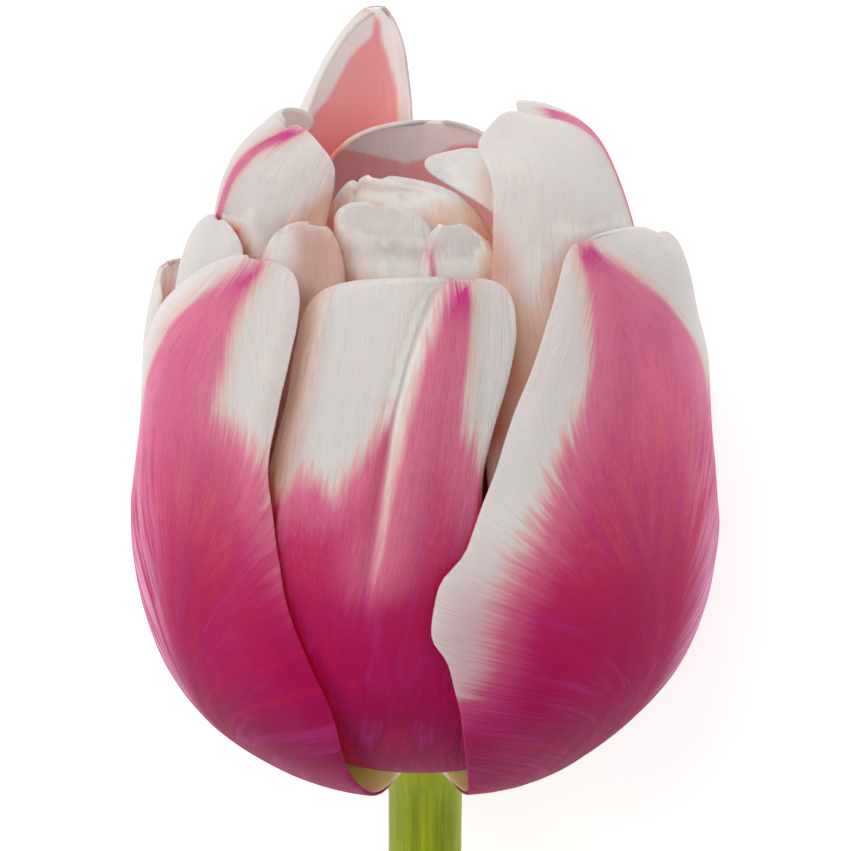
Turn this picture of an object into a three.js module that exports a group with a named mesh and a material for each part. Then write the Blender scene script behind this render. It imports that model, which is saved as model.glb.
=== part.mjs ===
// Cut double tulip, lying on its rear petals and on the cut end of its stem.
// Units are millimetres. The bloom is built upright about the z axis, with its feet near z = 0 and
// its front towards -y, and the whole flower is then laid down with its front facing up (+z).
import * as THREE from 'three';

const { degToRad, lerp, smoothstep } = THREE.MathUtils;

// --- Driving dimensions ---------------------------------------------------------------------------

// Stem and receptacle: one growth, round, cut square at its lower end.
const STEM_RADIUS = 3.95;
const STEM_LENGTH = 150;
const STEM_BOW = 3.5;
const STEM_BOW_START = 22.5;
const STEM_NECK = 6;
const STEM_NECK_SWELL = 0.5;
const STEM_SIDES = 20;
const STEM_STEPS = 14;
const RECEPTACLE_TOP = 8.6;

// Petals: thickness along the middle and at the margins, and the gap from a foot to the receptacle.
const PETAL_THICKNESS = 0.95;
const MARGIN_THICKNESS = 0.65;
const SEAT_GAP = 0.45;

// Rings of the receptacle that the petals grow from, outermost first: distance from the axis, height.
const RINGS = [
  { radius: 5.0, height: 0.0 },
  { radius: 4.8, height: 1.25 },
  { radius: 4.55, height: 2.5 },
  { radius: 4.25, height: 3.75 },
  { radius: 3.95, height: 5.0 },
  { radius: 3.65, height: 6.2 },
  { radius: 3.35, height: 7.4 },
];

// Laid down: the axis rises towards the tips by this angle, because the bloom is thicker than the stem.
const LAY_ANGLE = degToRad(8.8);
const TABLE_DOWN = new THREE.Vector3(0, Math.cos(LAY_ANGLE), -Math.sin(LAY_ANGLE));
const REST_DEPTH = STEM_LENGTH * Math.sin(LAY_ANGLE) + STEM_RADIUS * Math.cos(LAY_ANGLE);

// Pistil: a three-angled ovary under a stigma with three deeper lobes.
const PISTIL_PROFILE = [
  [0, 0], [1.4, 0], [1.6, 1.5], [2.3, 4], [3.1, 8], [2.9, 14],
  [2.2, 17], [2.4, 18], [3.6, 19.2], [3.4, 20.6], [1.4, 20.2], [0, 19.6],
];
const PISTIL_SIDES = 24;
const STIGMA_HEIGHT = 17.5;
const OVARY_LOBING = 0.1;
const STIGMA_LOBING = 0.22;
const LOBING_START = 1.5;
const LOBING_FULL = 5;

// Stamens: six round the pistil, spreading outwards from the top of the receptacle. The profile runs
// up the slender filament and over the long anther.
const STAMEN_COUNT = 6;
const STAMEN_RING = 2.35;
const STAMEN_SPREAD = degToRad(16);
const STAMEN_PROFILE = [
  [0, 0], [0.6, 0], [0.55, 7.5], [0.35, 9], [1.1, 10], [1.25, 14], [1.1, 19], [0.5, 21], [0, 21.2],
];
const STAMEN_SIDES = 8;

// Colours of the living flower.
const MAGENTA = '#b03a74';
const PALE_PINK = '#d98fa8';
const WHITE = '#dcd6d0';
const SALMON = '#d8909a';
const STEM_GREEN = '#96a532';
const OVARY_GREEN = '#a9b56a';
const ANTHER_BROWN = '#5a4330';

// How matt each surface is, from 0 for a mirror to 1.
const PETAL_ROUGHNESS = 0.45;
const GREEN_ROUGHNESS = 0.5;
const ANTHER_ROUGHNESS = 0.8;

// --- Petals ----------------------------------------------------------------------------------------
//
// turn      azimuth of the midrib at its foot, in degrees, 0 at the front and growing to the right
// lean      how far the midrib has drifted round the bloom when it reaches the tip
// leanStart share of the way up where it starts to drift
// ring      which ring of the receptacle it grows from
// heel      how far it hangs below its foot before it turns up
// belly     distance of its widest part from the axis
// fullness  how round the cup is below its widest part (above 1: rounder than its fellows)
// shoulder  distance of the place where it starts to close over the bloom
// neckline  height of that place, as a share of the whole
// tip       distance of the tip from the axis
// height    height of the tip
// left, right  half-widths at eight even steps from foot to tip, on each side of the midrib
// blunt     how square each side is cut at the top: low is pointed, high is straight across
// cup       how much tighter than the bloom its cross-curve gets towards the top (below 0: flatter)
// rows, columns  steps of its grid from foot to tip and from margin to margin

const PETALS = [
  // Outer whorl: three large petals.
  { name: 'outer_petal_left', colour: MAGENTA, ring: 0, turn: -64, lean: 21,
    heel: 1.95, belly: 30.7, fullness: 1.2, shoulder: 29.2, tip: 25.2, height: 58,
    left: [4.2, 11.2, 19.5, 25, 25, 21, 16, 9], right: [4.4, 9.4, 17, 19, 13.8, 8.3, 8, 6.8],
    blunt: [10, 26] },
  { name: 'outer_petal_right', colour: MAGENTA, ring: 0, turn: 51.5, lean: -8.5,
    belly: 30.7, shoulder: 27, neckline: 0.9, tip: 23.2, height: 59.4, cup: -0.1,
    left: [4.2, 7.6, 15.2, 20.9, 23.4, 16.6, 9, 5], right: [4.2, 9.5, 17, 22, 22, 21, 20, 20],
    blunt: [7, 40] },
  { name: 'outer_petal_rear', colour: MAGENTA, ring: 0, turn: 186, lean: -4,
    belly: 31.1, shoulder: 29, tip: 24, height: 59, rows: 20, columns: 16,
    left: [4.2, 9.5, 17, 22, 24, 22, 19, 14], right: [4.2, 9.5, 17, 22, 24, 22, 18, 13],
    blunt: [12, 12] },
  // Second whorl: the folded petal in front, and its fellows on both sides.
  { name: 'second_petal_front', colour: PALE_PINK, ring: 1, turn: -10, lean: 20,
    heel: 0.25, belly: 28.8, shoulder: 25.8, tip: 22.2, height: 56.7,
    left: [4.1, 9, 16, 20, 21, 20, 18.5, 17.5], right: [4.1, 9, 13, 12, 7.5, 3.6, 5.3, 7.8],
    blunt: [30, 14] },
  { name: 'second_petal_left', colour: MAGENTA, ring: 1, turn: -106, lean: 4,
    heel: 1.2, belly: 29.2, shoulder: 29.1, tip: 28.1, height: 50.8,
    left: [4.1, 9, 15, 20, 21, 20, 18, 17], right: [3.4, 7, 9, 7.5, 5, 5.5, 11, 13],
    blunt: [4, 30] },
  { name: 'second_petal_right', colour: MAGENTA, ring: 1, turn: 120, lean: -3,
    heel: 1.2, belly: 29, shoulder: 26.2, tip: 24.4, height: 53,
    left: [4.1, 9, 15, 20, 22, 21, 18, 13], right: [4.1, 9, 15, 20, 21, 20, 17, 12],
    blunt: [12, 12] },
  // Third whorl: the hooded petals at the sides, and the tall one at the back.
  { name: 'third_petal_left', colour: WHITE, ring: 2, turn: -86, lean: 18,
    heel: 0.5, belly: 27, shoulder: 25.3, neckline: 0.87, tip: 23.2, height: 59.6, cup: -0.3,
    left: [2.8, 7.2, 13, 16, 15, 12.5, 11, 9], right: [3.4, 7, 9.3, 10, 10, 9, 7.8, 7.4],
    blunt: [9, 24] },
  { name: 'third_petal_right', colour: WHITE, ring: 2, turn: 90, lean: 0,
    heel: 0.8, belly: 27, shoulder: 18.4, neckline: 0.93, tip: 10.2, height: 69,
    left: [3.4, 10, 21, 32, 35.5, 31, 21.7, 13.5], right: [3.4, 8, 13, 16.5, 16.5, 16.5, 16, 12],
    blunt: [30, 8] },
  { name: 'third_petal_rear', colour: SALMON, ring: 2, turn: 196, lean: 6,
    heel: 0.8, belly: 25, shoulder: 17.8, neckline: 0.8, tip: 14, height: 77, cup: -0.3,
    left: [3.4, 7, 10, 12, 12, 10, 6.2, 4.8], right: [2.8, 6, 9.5, 12.5, 14.5, 17.9, 17.3, 8.2],
    blunt: [8, 6] },
  // Fourth whorl: the narrow flap in front on the left, and the broad one at the back.
  { name: 'fourth_petal_flap', colour: WHITE, ring: 3, turn: -34, lean: 0,
    heel: 0.5, belly: 25.4, shoulder: 21.9, tip: 20.1, height: 61, cup: -0.5,
    left: [3, 6, 8, 9, 9.5, 9.5, 10.5, 12], right: [3, 6, 8.5, 8.5, 7.5, 6, 4.8, 2.8],
    blunt: [5, 30] },
  { name: 'fourth_petal_mauve', colour: SALMON, ring: 3, turn: 175, lean: 0,
    heel: 0.2, belly: 17.5, shoulder: 15.5, tip: 12, height: 64.9,
    left: [3.2, 6, 9, 12, 13, 13, 13, 12], right: [3.2, 6, 9, 12, 14, 16, 17, 16],
    blunt: [10, 14] },
  // Fifth whorl: the deep hood, the slim petal in front and the small one on the right.
  { name: 'fifth_petal_hood', colour: WHITE, ring: 4, turn: -94, lean: 39, leanStart: 0.6,
    heel: 0.45, belly: 24.2, shoulder: 21.3, neckline: 0.905, tip: 17.3, height: 70, cup: 1.35,
    left: [2.9, 8, 14, 17, 17, 16.5, 16.5, 17], right: [2.6, 8, 14, 17, 17, 15.6, 13, 5.5],
    blunt: [22, 18] },
  { name: 'fifth_petal_front', colour: WHITE, ring: 4, turn: 14, lean: -6,
    heel: 0.3, belly: 21.8, shoulder: 19.4, tip: 17.6, height: 61.3,
    left: [2.9, 5, 6, 6, 5, 4.2, 4.1, 3.8], right: [2.9, 6, 8, 9, 10, 11.5, 12.6, 6.5],
    blunt: [12, 4.5] },
  { name: 'fifth_petal_back', colour: WHITE, ring: 4, turn: 103, lean: -49,
    heel: 0.2, belly: 16.6, shoulder: 15.2, neckline: 0.9, tip: 7, height: 66,
    left: [2.9, 4.5, 5, 5.5, 5.5, 5.5, 6.5, 12], right: [2.9, 5, 7, 8, 9, 9, 8, 6],
    blunt: [24, 8] },
  // Heart: two petals folded over stamens and pistil.
  { name: 'heart_petal_front', colour: WHITE, ring: 5, turn: -17, lean: 0,
    heel: 0, belly: 20.2, shoulder: 17.8, neckline: 0.88, tip: 16.1, height: 62.8,
    left: [2.4, 6, 8, 9, 8, 6, 4.8, 9.9], right: [2.6, 6, 8, 9, 9, 8.5, 8, 7.2],
    blunt: [10, 10] },
  { name: 'heart_petal_back', colour: WHITE, ring: 6, turn: 6, lean: -32,
    heel: 0, belly: 13.9, shoulder: 13.2, tip: 11.6, height: 64.4,
    left: [2.4, 5, 7, 9, 9, 9, 9, 8], right: [2.4, 5, 8, 11, 13.5, 15.5, 17, 17],
    blunt: [8, 7] },
];

const PETAL_DEFAULTS = {
  heel: 1.7, fullness: 1, neckline: 0.86, cup: 0, leanStart: 0.15, rows: 12, columns: 10,
};

// The lower profile, alike for all petals so that they nest: share of the way from foot to belly, and
// height above the foot. The waist lies midway between belly and shoulder.
const SOLE_REACH = 0.31;
const CUP_PROFILE = [
  { reach: 0.66, climb: 4.4 },
  { reach: 0.9, climb: 12.6 },
  { reach: 1, climb: 24 },
];
const WAIST_PULL = 0.4;

// The keel up the middle of the outside, and the shares of the way up between which it rises.
const KEEL_HEIGHT = 0.25;
const KEEL_WIDTH = 1.6;
const KEEL_SPAN = [0.1, 0.3];

// The cross-curve is a circle: never tighter than this at the foot, and cupped between these shares.
const LEAST_ROUNDNESS = 4;
const CUP_SPAN = [0.35, 0.9];

const TIP_HALF_WIDTH = 1.2;

// Rows lie closer together towards the tip, by this power.
const ROW_CROWDING = 1.5;

// Steps across (mm) and along (share) that the surface's normal is measured over.
const NORMAL_STEP_ACROSS = 0.3;
const NORMAL_STEP_ALONG = 0.01;

// The midrib's profile as a curve through (distance from axis, height).
function midribCurve(petal) {
  const foot = RINGS[petal.ring];
  const reach = petal.belly - foot.radius;
  const bowl = CUP_PROFILE.map(({ reach: share, climb }) => (
    new THREE.Vector2(foot.radius + share ** (1 / petal.fullness) * reach, foot.height + climb)
  ));
  const belly = bowl.at(-1);
  const shoulder = new THREE.Vector2(
    petal.shoulder,
    lerp(foot.height, petal.height, petal.neckline),
  );
  const waist = new THREE.Vector2(
    lerp(belly.x, shoulder.x, WAIST_PULL),
    (belly.y + shoulder.y) / 2,
  );
  return new THREE.SplineCurve([
    new THREE.Vector2(foot.radius, foot.height),
    new THREE.Vector2(foot.radius + SOLE_REACH * reach, foot.height - petal.heel),
    ...bowl,
    waist,
    shoulder,
    new THREE.Vector2(petal.tip, petal.height),
  ]);
}

// Both half-widths as a curve through (left, right), before the top closes.
function widthCurve(petal) {
  return new THREE.SplineCurve(petal.left.map((left, i) => new THREE.Vector2(left, petal.right[i])));
}

// Half-width on one side of the midrib; side is -1 or 1, along runs from 0 at the foot to 1 at the tip.
function halfWidth(petal, side, along) {
  const widths = petal.widths.getPoint(along);
  const open = side < 0 ? widths.x : widths.y;
  const blunt = side < 0 ? petal.blunt[0] : petal.blunt[1];
  return Math.max(TIP_HALF_WIDTH, open * Math.sqrt(1 - along ** blunt));
}

// Point of the petal's middle surface; across is the distance from the midrib, to the right.
function petalPoint(petal, across, along) {
  const { x: distance, y: height } = petal.midrib.getPoint(along);
  const cupping = petal.cup * smoothstep(along, ...CUP_SPAN);
  const roundness = Math.max(distance, LEAST_ROUNDNESS) / (1 + cupping);
  const centre = distance - roundness;
  const azimuth = degToRad(petal.turn + petal.lean * smoothstep(along, petal.leanStart, 1));
  const keel = KEEL_HEIGHT * Math.exp(-((across / KEEL_WIDTH) ** 2)) * smoothstep(along, ...KEEL_SPAN);
  const direction = azimuth + across / roundness;
  return new THREE.Vector3(
    centre * Math.sin(azimuth) + (roundness + keel) * Math.sin(direction),
    -centre * Math.cos(azimuth) - (roundness + keel) * Math.cos(direction),
    height,
  );
}

// Outward unit normal of the middle surface.
function petalNormal(petal, across, along) {
  const right = petalPoint(petal, across + NORMAL_STEP_ACROSS, along)
    .sub(petalPoint(petal, across - NORMAL_STEP_ACROSS, along));
  const up = petalPoint(petal, across, Math.min(1, along + NORMAL_STEP_ALONG))
    .sub(petalPoint(petal, across, Math.max(0, along - NORMAL_STEP_ALONG)));
  return right.cross(up).normalize();
}

// How far a point lies below the surface that the flower rests on, measured in the upright bloom.
function sinkBelowTable(point) {
  return point.y * Math.cos(LAY_ANGLE) - point.z * Math.sin(LAY_ANGLE) - REST_DEPTH;
}

// A petal is a grid of points on its middle surface, moved half its thickness out and in. Both faces
// are split into triangles alike, and a strip closes the margin. Where it would sink below the
// surface that the flower rests on, the petal is pressed flat.
function petalGeometry(petal) {
  const { rows, columns } = petal;
  const outer = [];
  const inner = [];
  for (let i = 0; i <= rows; i += 1) {
    const along = 1 - (1 - i / rows) ** ROW_CROWDING;
    for (let j = 0; j <= columns; j += 1) {
      const share = (2 * j) / columns - 1;
      const across = share * halfWidth(petal, Math.sign(share), along);
      const middle = petalPoint(petal, across, along);
      const normal = petalNormal(petal, across, along);
      const half = lerp(PETAL_THICKNESS, MARGIN_THICKNESS, share * share) / 2;
      const outside = middle.clone().addScaledVector(normal, half);
      const inside = middle.clone().addScaledVector(normal, -half);
      const sink = Math.max(0, sinkBelowTable(outside));
      outer.push(outside.addScaledVector(TABLE_DOWN, -sink));
      inner.push(inside.addScaledVector(TABLE_DOWN, -sink));
    }
  }
  const at = (i, j) => i * (columns + 1) + j;
  const back = outer.length;
  const faces = [];
  const quad = (a, b, c, d) => faces.push(a, b, c, a, c, d);
  for (let i = 0; i < rows; i += 1) {
    for (let j = 0; j < columns; j += 1) {
      const corners = [at(i, j), at(i, j + 1), at(i + 1, j + 1), at(i + 1, j)];
      const [a, b, c, d] = corners;
      quad(a, b, c, d);
      faces.push(back + a, back + c, back + b, back + a, back + d, back + c);
    }
  }
  const margin = (from, to) => quad(to, from, back + from, back + to);
  for (let j = 0; j < columns; j += 1) {
    margin(at(0, j), at(0, j + 1));
    margin(at(rows, j + 1), at(rows, j));
  }
  for (let i = 0; i < rows; i += 1) {
    margin(at(i, columns), at(i + 1, columns));
    margin(at(i + 1, 0), at(i, 0));
  }
  const geometry = new THREE.BufferGeometry().setFromPoints([...outer, ...inner]);
  geometry.setIndex(faces);
  geometry.computeVertexNormals();
  return geometry;
}

function makePetal(options) {
  const petal = { ...PETAL_DEFAULTS, ...options };
  petal.midrib = midribCurve(petal);
  petal.widths = widthCurve(petal);
  return makeMesh(petal.name, petalGeometry(petal), petal.colour, PETAL_ROUGHNESS);
}

// --- Stem, pistil and stamens -----------------------------------------------------------------------

function makeMesh(name, geometry, colour, roughness) {
  const material = new THREE.MeshStandardMaterial({ color: colour, roughness, metalness: 0 });
  const mesh = new THREE.Mesh(geometry, material);
  mesh.name = name;
  return mesh;
}

// A closed solid turned about the z axis from (radius, height) pairs that start and end on the axis.
function turned(profile, sides) {
  const points = profile.map(([radius, height]) => new THREE.Vector2(radius, height));
  return new THREE.LatheGeometry(points, sides).rotateX(Math.PI / 2);
}

// Sideways bow of the stem below the bloom, none at the feet of the petals.
function stemBow(z) {
  return STEM_BOW * smoothstep(-z, STEM_BOW_START, STEM_LENGTH);
}

function makeStem() {
  const seats = RINGS.map((ring) => [ring.radius - SEAT_GAP, ring.height]);
  const shaft = [];
  for (let i = 0; i <= STEM_STEPS; i += 1) {
    shaft.push([STEM_RADIUS, lerp(-STEM_LENGTH, -STEM_NECK, i / STEM_STEPS)]);
  }
  const geometry = turned([
    [0, -STEM_LENGTH],
    ...shaft,
    [STEM_RADIUS + STEM_NECK_SWELL, -STEM_NECK / 3],
    ...seats,
    [RINGS.at(-1).radius - 2 * SEAT_GAP, RECEPTACLE_TOP],
    [0, RECEPTACLE_TOP],
  ], STEM_SIDES);
  const positions = geometry.attributes.position;
  for (let i = 0; i < positions.count; i += 1) {
    positions.setX(i, positions.getX(i) + stemBow(positions.getZ(i)));
  }
  return makeMesh('stem', geometry, STEM_GREEN, GREEN_ROUGHNESS);
}

// The ovary is a three-angled column, and the stigma is its three-lobed crown.
function makePistil() {
  const geometry = turned(PISTIL_PROFILE, PISTIL_SIDES);
  const positions = geometry.attributes.position;
  for (let i = 0; i < positions.count; i += 1) {
    const x = positions.getX(i);
    const y = positions.getY(i);
    const z = positions.getZ(i);
    const depth = z > STIGMA_HEIGHT ? STIGMA_LOBING : OVARY_LOBING;
    const lobing = depth * smoothstep(z, LOBING_START, LOBING_FULL);
    const swell = 1 + lobing * Math.cos(3 * Math.atan2(y, x));
    positions.setXY(i, x * swell, y * swell);
  }
  geometry.translate(0, 0, RECEPTACLE_TOP + SEAT_GAP);
  return makeMesh('pistil', geometry, OVARY_GREEN, GREEN_ROUGHNESS);
}

// A stamen is a tapered filament with a long anther on its end.
function makeStamen(name, azimuth) {
  const geometry = turned(STAMEN_PROFILE, STAMEN_SIDES);
  const stamen = makeMesh(name, geometry, ANTHER_BROWN, ANTHER_ROUGHNESS);
  stamen.position.set(
    STAMEN_RING * Math.sin(azimuth),
    -STAMEN_RING * Math.cos(azimuth),
    RECEPTACLE_TOP + SEAT_GAP,
  );
  stamen.rotation.order = 'ZXY';
  stamen.rotation.set(STAMEN_SPREAD, 0, azimuth);
  return stamen;
}

// --- The flower, laid down ---------------------------------------------------------------------------

const bloom = new THREE.Group();
bloom.add(makeStem(), makePistil());
for (let i = 0; i < STAMEN_COUNT; i += 1) {
  bloom.add(makeStamen(`stamen_${i + 1}`, (i * 2 * Math.PI) / STAMEN_COUNT));
}
bloom.add(...PETALS.map(makePetal));
bloom.rotation.x = LAY_ANGLE - Math.PI / 2;

// The origin is the middle of the underside of the flower's box.
const flower = new THREE.Group();
flower.add(bloom);
flower.updateMatrixWorld(true);
const extent = new THREE.Box3().setFromObject(flower, true);
const middle = extent.getCenter(new THREE.Vector3());
bloom.position.set(-middle.x, -middle.y, -extent.min.z);

export default flower;
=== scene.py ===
import math

import bmesh
import bpy
from mathutils import Matrix, Vector, noise
from mathutils.bvhtree import BVHTree


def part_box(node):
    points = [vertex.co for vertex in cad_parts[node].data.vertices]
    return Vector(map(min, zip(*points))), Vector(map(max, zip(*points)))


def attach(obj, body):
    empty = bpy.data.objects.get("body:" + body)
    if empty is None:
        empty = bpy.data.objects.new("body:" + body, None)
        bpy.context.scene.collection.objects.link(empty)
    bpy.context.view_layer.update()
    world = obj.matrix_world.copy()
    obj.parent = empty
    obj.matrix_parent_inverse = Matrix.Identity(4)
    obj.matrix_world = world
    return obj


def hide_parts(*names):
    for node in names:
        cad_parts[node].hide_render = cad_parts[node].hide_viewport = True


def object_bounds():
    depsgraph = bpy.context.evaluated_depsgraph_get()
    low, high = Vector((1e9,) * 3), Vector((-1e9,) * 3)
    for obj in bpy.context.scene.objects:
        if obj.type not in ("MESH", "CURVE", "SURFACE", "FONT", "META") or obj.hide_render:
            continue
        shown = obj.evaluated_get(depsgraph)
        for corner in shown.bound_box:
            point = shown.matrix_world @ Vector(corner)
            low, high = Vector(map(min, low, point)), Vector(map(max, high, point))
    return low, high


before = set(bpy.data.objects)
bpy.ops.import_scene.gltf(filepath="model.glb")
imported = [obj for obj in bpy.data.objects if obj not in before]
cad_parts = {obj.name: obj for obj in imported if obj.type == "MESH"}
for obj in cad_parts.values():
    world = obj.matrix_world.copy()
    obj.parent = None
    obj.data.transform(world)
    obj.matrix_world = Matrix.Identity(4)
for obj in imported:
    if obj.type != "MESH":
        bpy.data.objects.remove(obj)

cad_low, cad_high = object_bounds()

# --- Stem and receptacle -------------------------------------------------------------------------
# The stem is a firm, juicy shaft, cut square at its lower end. Its top swells into the receptacle,
# whose rings carry the petals, so shaft and receptacle are one growth: turned, then bowed sideways.

STEM_RADIUS = 3.95
STEM_LENGTH = 150
STEM_BOW = 3.5
STEM_BOW_START = 22.5
STEM_NECK = 6
STEM_NECK_SWELL = 0.5
SHAFT_RINGS = 36
STEM_FLATTENING = 0.012
STEM_TWIST = 0.02
RECEPTACLE_TOP = 8.6
SEAT_GAP = 0.45
# Rings that the petals grow from, outermost first: distance from the axis, height.
RINGS = [(5.0, 0.0), (4.8, 1.25), (4.55, 2.5), (4.25, 3.75), (3.95, 5.0), (3.65, 6.2), (3.35, 7.4)]

# The bloom is worked out upright in millimetres, with z up its axis and its front towards -y. Then
# it is laid down on its back, as the frame has it, with the axis rising a little towards the tips.
MILLIMETRE = 0.001
LAY_ANGLE = math.radians(8.8)
REST_DEPTH = STEM_LENGTH * math.sin(LAY_ANGLE) + STEM_RADIUS * math.cos(LAY_ANGLE)
TABLE_DOWN = Vector((0, math.cos(LAY_ANGLE), -math.sin(LAY_ANGLE)))
front_stamen_low, front_stamen_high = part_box("stamen_1")
stem_reach = STEM_LENGTH * math.cos(LAY_ANGLE) + STEM_RADIUS * math.sin(LAY_ANGLE)
BLOOM_ORIGIN = Vector((
    (front_stamen_low.x + front_stamen_high.x) / 2,
    cad_low.y + stem_reach * MILLIMETRE,
    cad_low.z + REST_DEPTH * MILLIMETRE,
))
LAID = (
    Matrix.Translation(BLOOM_ORIGIN)
    @ Matrix.Rotation(LAY_ANGLE - math.pi / 2, 4, "X")
    @ Matrix.Scale(MILLIMETRE, 4)
)


def smoothstep(value, low, high):
    share = min(1, max(0, (value - low) / (high - low)))
    return share * share * (3 - 2 * share)


def lerp(start, end, share):
    return start + (end - start) * share


def turn_profile(skin, profile, steps):
    """Turns (radius, height) pairs that start and end on the z axis into a closed skin."""
    verts = [skin.verts.new((radius, 0, height)) for radius, height in profile]
    edges = [skin.edges.new(pair) for pair in zip(verts, verts[1:])]
    bmesh.ops.spin(
        skin, geom=verts + edges, cent=(0, 0, 0), axis=(0, 0, 1),
        angle=2 * math.pi, steps=steps, use_merge=True,
    )
    bmesh.ops.remove_doubles(skin, verts=skin.verts, dist=1e-4)
    bmesh.ops.recalc_face_normals(skin, faces=skin.faces)


def lay_down(skin, name, materials):
    """Lays the upright skin down and makes it a smooth-shaded piece with its materials."""
    bmesh.ops.transform(skin, matrix=LAID, verts=skin.verts)
    for face in skin.faces:
        face.smooth = True
    mesh = bpy.data.meshes.new(name)
    skin.to_mesh(mesh)
    skin.free()
    for material in materials:
        mesh.materials.append(material)
    piece = bpy.data.objects.new(name, mesh)
    bpy.context.scene.collection.objects.link(piece)
    return piece


def round_off(piece):
    rounding = piece.modifiers.new("rounding", "SUBSURF")
    rounding.levels = 1
    rounding.render_levels = 1


def srgb(red, green, blue):
    """A colour given as it shows on a screen, 0 to 255, as the linear colour that a shader takes."""
    linear = []
    for part in (red / 255, green / 255, blue / 255):
        linear.append(part / 12.92 if part <= 0.04045 else ((part + 0.055) / 1.055) ** 2.4)
    return (*linear, 1)


class Finish:
    """A node material under construction: its nodes are added one by one and joined as they come."""

    def __init__(self, name, **gloss):
        self.material = bpy.data.materials.new(name)
        self.material.use_nodes = True
        self.tree = self.material.node_tree
        self.shader = self.tree.nodes["Principled BSDF"]
        for socket, value in gloss.items():
            self.shader.inputs[socket.replace("_", " ")].default_value = value

    def add(self, kind, inputs, **settings):
        made = self.tree.nodes.new("ShaderNode" + kind)
        for setting, value in settings.items():
            setattr(made, setting, value)
        for socket, value in inputs.items():
            self.join(made.inputs[socket], value)
        return made

    def join(self, socket, value):
        if isinstance(value, bpy.types.NodeSocket):
            self.tree.links.new(value, socket)
        else:
            socket.default_value = value

    def attribute(self, name):
        return self.add("Attribute", {}, attribute_name=name).outputs["Vector"]

    def parts(self, vector):
        return self.add("SeparateXYZ", {"Vector": vector}).outputs

    def math(self, operation, first, second=0.0):
        return self.add("Math", {0: first, 1: second}, operation=operation).outputs[0]

    def stretched(self, vector, scale):
        """The same coordinates, stretched by a scale for each direction."""
        return self.add("VectorMath", {0: vector, 1: scale}, operation="MULTIPLY").outputs[0]

    def noise(self, vector, scale=1.0, detail=2.0, roughness=0.5):
        made = self.add(
            "TexNoise", {"Vector": vector, "Scale": scale, "Detail": detail, "Roughness": roughness}
        )
        return made.outputs["Fac"]

    def ramp(self, value, low, high, start=0.0, end=1.0):
        """Runs smoothly from start to end as the value runs from low to high, and stays there."""
        made = self.add(
            "MapRange",
            {"Value": value, "From Min": low, "From Max": high, "To Min": start, "To Max": end},
            interpolation_type="SMOOTHSTEP",
        )
        return made.outputs["Result"]

    def blend(self, share, first, second):
        """One colour over another by a share from 0 to 1."""
        made = self.add("Mix", {}, data_type="RGBA")
        self.join(made.inputs["Factor"], share)
        self.join(made.inputs[6], first)
        self.join(made.inputs[7], second)
        return made.outputs[2]

    def paint(self, colour, relief=None, depth=0.0):
        """Sets the colour, and raises the surface by the relief (0 to 1) times a depth in metres."""
        self.join(self.shader.inputs["Base Color"], colour)
        if relief is not None:
            bump = self.add("Bump", {"Height": relief, "Distance": depth, "Strength": 1.0})
            self.join(self.shader.inputs["Normal"], bump.outputs["Normal"])
        return self.material


STEM_GREEN = srgb(152, 166, 8)
STEM_DARK = srgb(116, 130, 0)
STEM_LIGHT = srgb(188, 196, 50)
STEM_NECK_GREEN = srgb(176, 186, 60)
STEM_PITH = srgb(214, 220, 160)


def stem_finish():
    finish = Finish(
        "stem skin", Roughness=0.5, Specular_IOR_Level=0.2, Subsurface_Weight=0.2,
        Subsurface_Scale=0.002, Subsurface_Radius=(0.6, 1.0, 0.1), Coat_Weight=0.03, Coat_Roughness=0.3,
    )
    # The stem's own place: round it (x, y on its circle) and along it (z), in millimetres.
    place = finish.attribute("stem_place")
    fibres = finish.noise(finish.stretched(place, (1.5, 1.5, 0.03)), detail=3)
    cells = finish.noise(finish.stretched(place, (7, 7, 0.5)), detail=2)
    clouds = finish.noise(finish.stretched(place, (0.2, 0.2, 0.05)), detail=2)
    colour = finish.blend(finish.ramp(fibres, 0.3, 0.7), STEM_DARK, STEM_GREEN)
    colour = finish.blend(finish.ramp(cells, 0.55, 0.8, 0, 0.5), colour, STEM_LIGHT)
    colour = finish.blend(finish.ramp(clouds, 0.4, 0.7, 0, 0.35), colour, STEM_LIGHT)
    height = finish.parts(place)["Z"]
    colour = finish.blend(finish.ramp(height, -9, 0, 0, 0.8), colour, STEM_NECK_GREEN)
    cut = finish.ramp(height, -STEM_LENGTH + 0.35, -STEM_LENGTH + 0.05)
    colour = finish.blend(cut, colour, STEM_PITH)
    relief = finish.math("ADD", fibres, finish.math("MULTIPLY", cells, 0.4))
    return finish.paint(colour, relief, 0.00012)


def stem_bow(height):
    return STEM_BOW * smoothstep(-height, STEM_BOW_START, STEM_LENGTH)


stem_skin = bmesh.new()
stem_place = stem_skin.verts.layers.float_vector.new("stem_place")
shaft = []
for step in range(SHAFT_RINGS + 1):
    shaft.append((STEM_RADIUS, lerp(-STEM_LENGTH, -STEM_NECK, step / SHAFT_RINGS)))
cut_end = [
    (0, -STEM_LENGTH + 0.25),
    (1.2, -STEM_LENGTH + 0.3),
    (2.6, -STEM_LENGTH + 0.08),
    (STEM_RADIUS - 0.25, -STEM_LENGTH),
    (STEM_RADIUS - 0.03, -STEM_LENGTH + 0.12),
]
seats = [(radius - SEAT_GAP, height) for radius, height in RINGS]
receptacle_crown = [(RINGS[-1][0] - 2 * SEAT_GAP, RECEPTACLE_TOP), (0, RECEPTACLE_TOP)]
neck = [(STEM_RADIUS + STEM_NECK_SWELL, -STEM_NECK / 3)]
turn_profile(stem_skin, cut_end + shaft[1:] + neck + seats + receptacle_crown, steps=48)
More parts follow.
